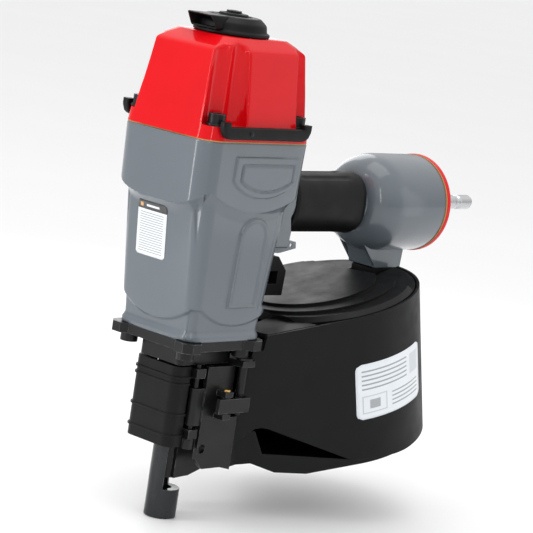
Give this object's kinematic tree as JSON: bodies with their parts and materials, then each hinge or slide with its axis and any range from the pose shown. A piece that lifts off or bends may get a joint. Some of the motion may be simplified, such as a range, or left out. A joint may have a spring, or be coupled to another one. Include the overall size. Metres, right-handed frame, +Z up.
{
  "type": "pneumatic coil nailer",
  "caption": "Compressed-air coil nailer with a metal body and head cap, rubber grip, leaning drum magazine, hinged doors and a sliding contact tip.",
  "frame": {"origin": "centre of the muzzle's bottom face, on the drive axis", "axes": "+Z up along the drive axis, +X from the drive axis along the handle to the air inlet, -Y the loading side of the magazine"},
  "size_m": [0.3626, 0.152, 0.3795],
  "materials": {
    "painted_casting": "gloss",
    "red_paint": "gloss",
    "black_plastic": "matte",
    "black_rubber": "matte",
    "black_steel": "satin",
    "bright_steel": "satin",
    "liner_alloy": "satin",
    "gasket_paper": "matte",
    "valve_plastic": "satin",
    "bumper_rubber": "matte",
    "brass": "satin"
  },
  "bodies": {
    "tool": {"main_housing": "painted_casting", "grip_sleeve": "black_rubber", "head_gasket": "gasket_paper", "head_cap": "red_paint", "cap_bolts": "black_steel", "cap_washers": "black_steel", "guard_left": "black_rubber", "guard_right": "black_rubber", "deflector_screw": "black_steel", "head_valve_spring": "bright_steel", "cylinder_liner": "liner_alloy", "cylinder_collar": "black_rubber", "bumper": "bumper_rubber", "nose_base": "black_steel", "nose_bolts": "black_steel", "nose_cover": "black_plastic", "door_hinge_rod": "black_steel", "latch_post": "black_steel", "arm_spring": "bright_steel", "arm_guide": "black_plastic", "trigger_pin": "bright_steel", "valve_body": "liner_alloy", "feed_cylinder": "black_steel", "end_cap_gasket": "gasket_paper", "end_cap": "red_paint", "end_cap_screws": "black_steel", "air_plug": "bright_steel", "magazine_body": "black_plastic", "magazine_top_cap": "black_plastic", "magazine_hinge_pin": "bright_steel", "support_post": "bright_steel", "magazine_bolt": "black_steel"},
    "deflector": {"exhaust_deflector": "black_plastic"},
    "head_valve_unit": {"head_valve": "valve_plastic", "head_valve_seal": "black_rubber"},
    "piston": {"drive_piston": "liner_alloy", "piston_ring": "black_rubber", "driver_blade": "bright_steel"},
    "feed_door_unit": {"feed_door": "black_steel", "latch_pin": "brass"},
    "latch": {"door_latch": "black_steel"},
    "contact": {"contact_tip": "black_steel", "contact_arm": "black_steel"},
    "wheel": {"adjuster_wheel": "black_steel"},
    "trigger_unit": {"trigger": "painted_casting", "tongue_pin": "bright_steel"},
    "tongue": {"trigger_tongue": "bright_steel"},
    "stem": {"valve_stem": "bright_steel"},
    "feed_unit": {"feed_piston": "bright_steel", "pawl_pin": "bright_steel"},
    "pawl": {"feed_pawl": "black_steel"},
    "cover": {"magazine_cover": "black_plastic"},
    "support": {"nail_support": "black_plastic"}
  },
  "joints": [
    {"name": "deflector_turn", "type": "hinge", "parent": "tool", "child": "deflector", "pos_m": [0, 0, 0.365], "axis": [0, 0, 1], "continuous": true},
    {"name": "head_valve_slide", "type": "slide", "parent": "tool", "child": "head_valve_unit", "axis": [0, 0, 1], "range_m": [0, 0.006], "stiffness_N_per_m": 1500, "springref_m": -0.006, "deforming": ["head_valve_spring"]},
    {"name": "piston_slide", "type": "slide", "parent": "tool", "child": "piston", "axis": [0, 0, -1], "range_m": [0, 0.095]},
    {"name": "feed_door_hinge", "type": "hinge", "parent": "tool", "child": "feed_door_unit", "pos_m": [-0.007, -0.024, 0.09], "axis": [0, 0, 1], "range_deg": [-100, 0]},
    {"name": "latch_hinge", "type": "hinge", "parent": "feed_door_unit", "child": "latch", "pos_m": [0.015, -0.035, 0.0925], "axis": [0, 0, 1], "range_deg": [-28, 0], "stiffness_Nm_per_rad": 0.05, "springref_deg": 17.19},
    {"name": "contact_slide", "type": "slide", "parent": "tool", "child": "contact", "axis": [0, 0, 1], "range_m": [0, 0.008], "stiffness_N_per_m": 2500, "springref_m": -0.02},
    {"name": "adjuster_turn", "type": "hinge", "parent": "tool", "child": "wheel", "pos_m": [0.06, 0, 0.183], "axis": [0, 0, 1], "continuous": true},
    {"name": "trigger_pull", "type": "hinge", "parent": "tool", "child": "trigger_unit", "pos_m": [0.053, 0, 0.2095], "axis": [0, -1, 0], "range_deg": [0, 8.5], "stiffness_Nm_per_rad": 1, "springref_deg": -8.59},
    {"name": "tongue_turn", "type": "hinge", "parent": "trigger_unit", "child": "tongue", "pos_m": [0.084, 0, 0.208], "axis": [0, 1, 0], "range_deg": [0, 18.6], "stiffness_Nm_per_rad": 0.05, "springref_deg": -5.73},
    {"name": "stem_slide", "type": "slide", "parent": "tool", "child": "stem", "axis": [0, 0, 1], "range_m": [0, 0.0034], "stiffness_N_per_m": 15, "springref_m": -0.002},
    {"name": "feed_slide", "type": "slide", "parent": "tool", "child": "feed_unit", "axis": [1, 0, 0], "range_m": [0, 0.008], "stiffness_N_per_m": 600, "springref_m": -0.01},
    {"name": "pawl_turn", "type": "hinge", "parent": "feed_unit", "child": "pawl", "pos_m": [0.022, 0.016, 0.088], "axis": [0, 0, 1], "range_deg": [-20, 0], "stiffness_Nm_per_rad": 0.03, "springref_deg": 17.19},
    {"name": "magazine_cover_hinge", "type": "hinge", "parent": "tool", "child": "cover", "pos_m": [0.2337, -0.01644, 0.12671], "axis": [-0.2756, 0, 0.9613], "range_deg": [0, 110]},
    {"name": "support_slide", "type": "slide", "parent": "tool", "child": "support", "axis": [-0.2756, 0, 0.9613], "range_m": [0, 0.045]}
  ],
  "couplings": [
    {"joint": "tongue_turn", "follows": "contact_slide", "rad_per_m": 40},
    {"joint": "stem_slide", "follows": "trigger_pull", "m_per_rad": 0.0222}
  ]
}
